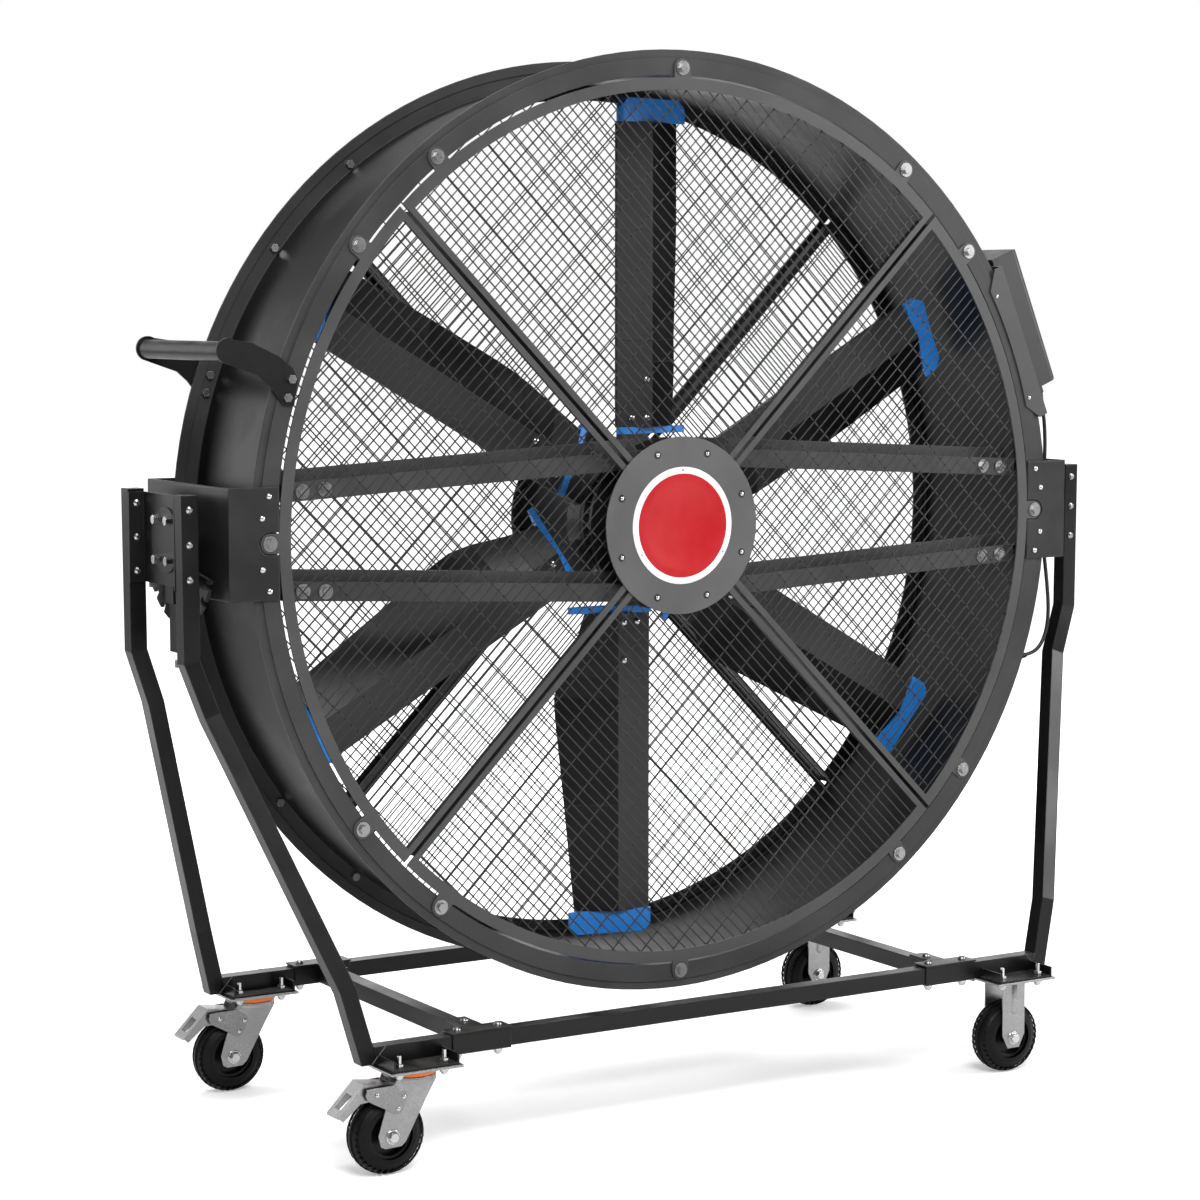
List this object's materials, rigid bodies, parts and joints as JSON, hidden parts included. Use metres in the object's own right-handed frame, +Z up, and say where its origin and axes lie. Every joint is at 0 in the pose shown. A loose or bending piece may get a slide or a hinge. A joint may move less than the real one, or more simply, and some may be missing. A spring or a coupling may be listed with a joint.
{
  "type": "portable industrial fan",
  "caption": "Large drum fan with welded wire guards and a wide-blade rotor, tilting between the posts of a square-tube stand on casters, with a push handle and a speed control box.",
  "frame": {"origin": "on the floor, under the middle of the drum", "axes": "+X to the control box side along the pivot axis, +Y from the front guard to the rear guard along the rotor axis, +Z up"},
  "size_m": [1.806, 0.718, 1.795],
  "materials": {
    "frame_black": "satin powder coat",
    "guard_black": "satin powder coat",
    "blade_black": "satin black anodised",
    "blue_caps": "satin",
    "zinc": "bright zinc",
    "tyre": "rubber",
    "wheel_rim": "satin",
    "seal_orange": "satin",
    "cable_black": "matt",
    "dial_black": "matt",
    "motor_grey": "cast, painted",
    "box_grey": "satin powder coat"
  },
  "bodies": {
    "stand": {"base_bars": "frame_black", "base_sleeves": "frame_black", "caster_trays": "frame_black", "cross_tubes": "frame_black", "front_left_leg": "frame_black", "front_right_leg": "frame_black", "pivot_bearings": "frame_black", "pivot_saddles": "frame_black", "rear_left_leg": "frame_black", "rear_right_leg": "frame_black", "rigid_forks": "zinc", "stand_bolts": "zinc", "swivel_heads": "zinc", "swivel_seals": "seal_orange", "tilt_lock_bracket": "frame_black"},
    "drum": {"drum_shell": "frame_black", "hub_plates": "frame_black", "drum_bolts": "zinc", "motor_arms": "frame_black", "arm_wall_feet": "frame_black", "motor_plate": "frame_black", "motor_housing": "motor_grey", "left_drum_yoke": "frame_black", "right_drum_yoke": "frame_black", "tilt_sector": "frame_black", "handle_plates": "frame_black", "handle_grip": "dial_black", "control_box": "box_grey", "control_box_lid": "box_grey", "control_box_bracket": "frame_black", "motor_cable": "cable_black", "cable_glands": "cable_black", "front_bottom_guard": "guard_black", "front_left_guard": "guard_black", "front_right_guard": "guard_black", "front_top_guard": "guard_black", "rear_bottom_guard": "guard_black", "rear_left_guard": "guard_black", "rear_right_guard": "guard_black", "rear_top_guard": "guard_black"},
    "rotor": {"rotor_shaft": "zinc", "rotor_hub": "frame_black", "fan_blades": "blade_black", "blade_tip_caps": "blue_caps", "blade_root_collars": "blue_caps", "blade_bolts": "zinc"},
    "dial": {"speed_dial": "dial_black"},
    "plunger": {"tilt_lock_plunger": "zinc"},
    "front_left_swivel": {"front_left_fork": "zinc"},
    "front_left_pedal": {"front_left_brake_pedal": "zinc"},
    "front_left_wheel": {"front_left_tyre": "tyre", "front_left_rim": "wheel_rim"},
    "front_right_wheel": {"front_right_tyre": "tyre", "front_right_rim": "wheel_rim"},
    "rear_left_swivel": {"rear_left_fork": "zinc"},
    "rear_left_pedal": {"rear_left_brake_pedal": "zinc"},
    "rear_left_wheel": {"rear_left_tyre": "tyre", "rear_left_rim": "wheel_rim"},
    "rear_right_wheel": {"rear_right_tyre": "tyre", "rear_right_rim": "wheel_rim"}
  },
  "joints": [
    {"name": "drum_tilt", "type": "hinge", "parent": "stand", "child": "drum", "pos_m": [0, 0, 0.995], "axis": [1, 0, 0], "range_deg": [-60, 60]},
    {"name": "rotor_spin", "type": "hinge", "parent": "drum", "child": "rotor", "pos_m": [0, 0, 0.995], "axis": [0, 1, 0], "continuous": true},
    {"name": "speed_dial_turn", "type": "hinge", "parent": "drum", "child": "dial", "pos_m": [0.80204, 0, 1.35853], "axis": [0.9252, 0, 0.3795], "range_deg": [0, 270]},
    {"name": "tilt_lock_slide", "type": "slide", "parent": "stand", "child": "plunger", "axis": [0, 0, 1], "range_m": [0, 0.012]},
    {"name": "front_left_caster_swivel", "type": "hinge", "parent": "stand", "child": "front_left_swivel", "pos_m": [-0.602, -0.299, 0.16], "axis": [0, 0, 1], "continuous": true},
    {"name": "front_left_wheel_spin", "type": "hinge", "parent": "front_left_swivel", "child": "front_left_wheel", "pos_m": [-0.646, -0.299, 0.064], "axis": [0, 1, 0], "continuous": true},
    {"name": "front_left_brake", "type": "hinge", "parent": "front_left_swivel", "child": "front_left_pedal", "pos_m": [-0.672, -0.299, 0.131], "axis": [0, -1, 0], "range_deg": [0, 12]},
    {"name": "front_right_wheel_spin", "type": "hinge", "parent": "stand", "child": "front_right_wheel", "pos_m": [0.602, -0.299, 0.064], "axis": [0, 1, 0], "continuous": true},
    {"name": "rear_left_caster_swivel", "type": "hinge", "parent": "stand", "child": "rear_left_swivel", "pos_m": [-0.602, 0.299, 0.16], "axis": [0, 0, 1], "continuous": true},
    {"name": "rear_left_wheel_spin", "type": "hinge", "parent": "rear_left_swivel", "child": "rear_left_wheel", "pos_m": [-0.646, 0.299, 0.064], "axis": [0, 1, 0], "continuous": true},
    {"name": "rear_left_brake", "type": "hinge", "parent": "rear_left_swivel", "child": "rear_left_pedal", "pos_m": [-0.672, 0.299, 0.131], "axis": [0, -1, 0], "range_deg": [0, 12]},
    {"name": "rear_right_wheel_spin", "type": "hinge", "parent": "stand", "child": "rear_right_wheel", "pos_m": [0.602, 0.299, 0.064], "axis": [0, 1, 0], "continuous": true}
  ]
}
